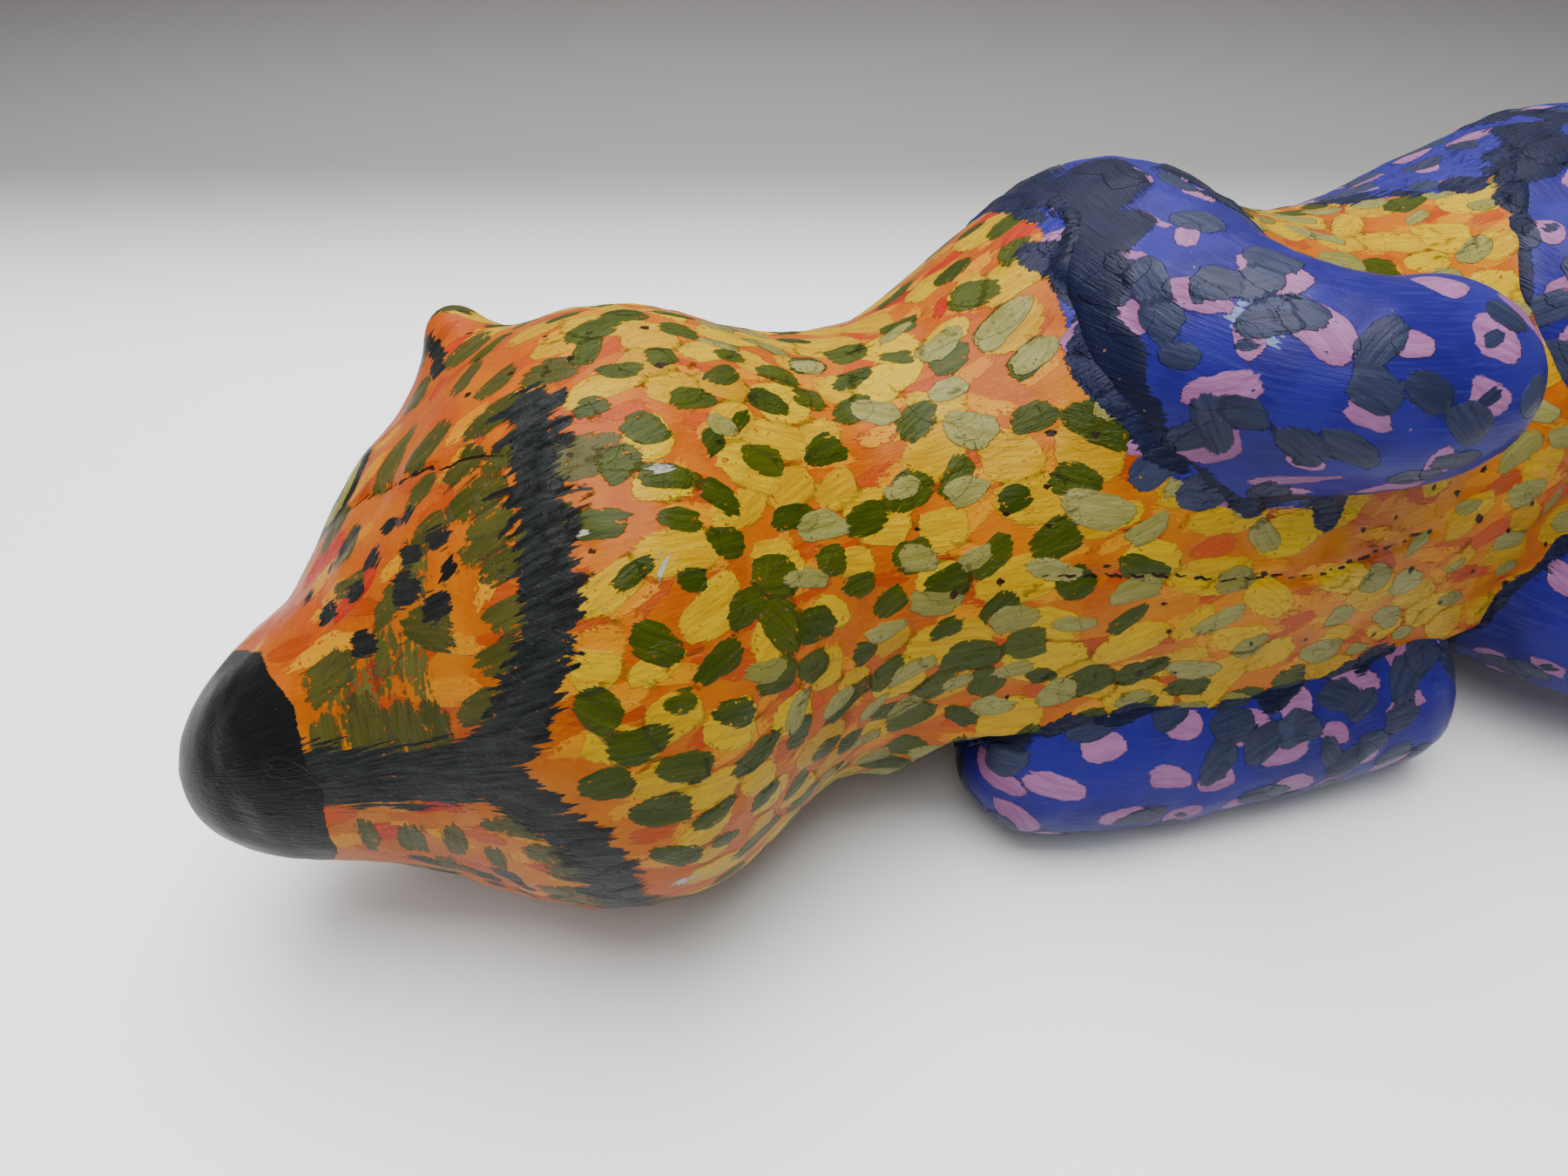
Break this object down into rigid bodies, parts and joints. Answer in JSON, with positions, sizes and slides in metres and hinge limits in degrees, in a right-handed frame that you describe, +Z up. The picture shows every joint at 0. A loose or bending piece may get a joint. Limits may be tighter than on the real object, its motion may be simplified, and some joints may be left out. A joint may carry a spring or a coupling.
{
  "type": "alebrije figure",
  "caption": "Hand-carved and brush-painted wooden alebrije of a long-bodied animal, lying on its side, with coped legs and a plug-in tail.",
  "frame": {"origin": "middle of the figure's outline, on the surface that it lies on", "axes": "+X from the nose towards the rump, -Y towards the belly side, +Z up with the figure on its right side"},
  "size_m": [0.6785, 0.2699, 0.1753],
  "materials": {
    "body_paint": "brushed acrylic over carved copal-type wood, semi-gloss",
    "limb_paint": "brushed acrylic over carved copal-type wood, semi-gloss",
    "filler_paint": "sawdust and glue filler, painted, satin",
    "bare_wood": "bare turned hardwood",
    "nail_steel": "plain wire nail"
  },
  "bodies": {
    "trunk": {"head_and_trunk": "body_paint", "left_front_leg": "limb_paint", "right_front_leg": "limb_paint", "left_hind_leg": "limb_paint", "right_hind_leg": "limb_paint", "left_front_dowel": "bare_wood", "right_front_dowel": "bare_wood", "left_hind_dowel": "bare_wood", "right_hind_dowel": "bare_wood", "left_front_nails": "nail_steel", "right_front_nails": "nail_steel", "left_hind_nails": "nail_steel", "right_hind_nails": "nail_steel", "left_front_filler": "filler_paint", "right_front_filler": "filler_paint", "left_hind_filler": "filler_paint", "right_hind_filler": "filler_paint", "nail_plugs": "filler_paint"},
    "tail": {"tail": "body_paint", "tail_peg": "bare_wood"}
  },
  "joints": [
    {"name": "tail_pull", "type": "slide", "parent": "trunk", "child": "tail", "axis": [1, 0, 0], "range_m": [0, 0.06]}
  ]
}
